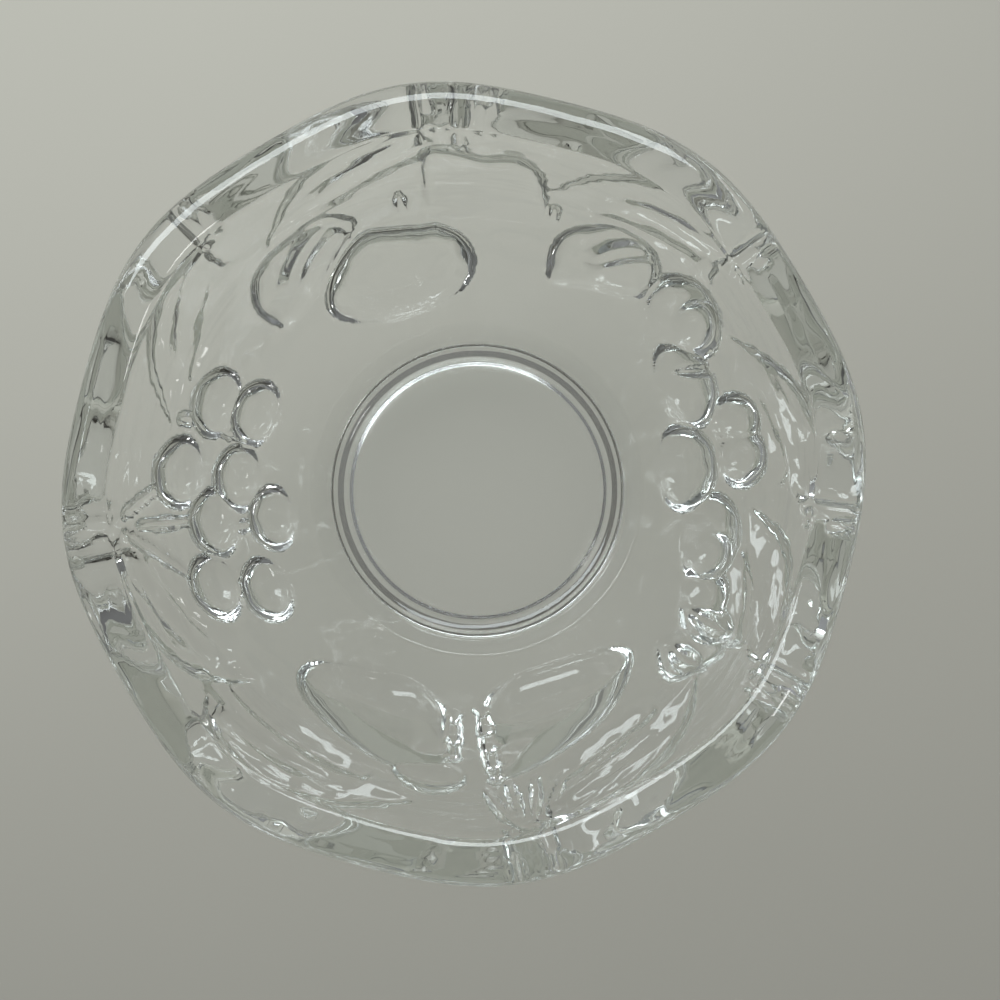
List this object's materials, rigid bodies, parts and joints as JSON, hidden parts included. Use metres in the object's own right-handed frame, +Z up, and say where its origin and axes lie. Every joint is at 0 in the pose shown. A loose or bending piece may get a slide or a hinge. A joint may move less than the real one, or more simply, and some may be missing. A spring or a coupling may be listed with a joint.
{
  "type": "votive candle holder",
  "caption": "Clear pressed-glass bowl for a tea light or votive, with a scalloped rim, a ring foot and fruit and leaves raised on the outside.",
  "frame": {"origin": "middle of the foot's underside, on the surface that the holder stands on", "axes": "+Z up through the mouth; +X and +Y lie in the table's plane, with the plum group round +X, the apples round +Y, the grapes round -X and the pears round -Y"},
  "size_m": [0.1022, 0.1022, 0.054],
  "materials": {
    "clear_glass": "fire-polished clear pressed glass"
  },
  "bodies": {
    "root": {"glass_bowl": "clear_glass"}
  },
  "joints": []
}
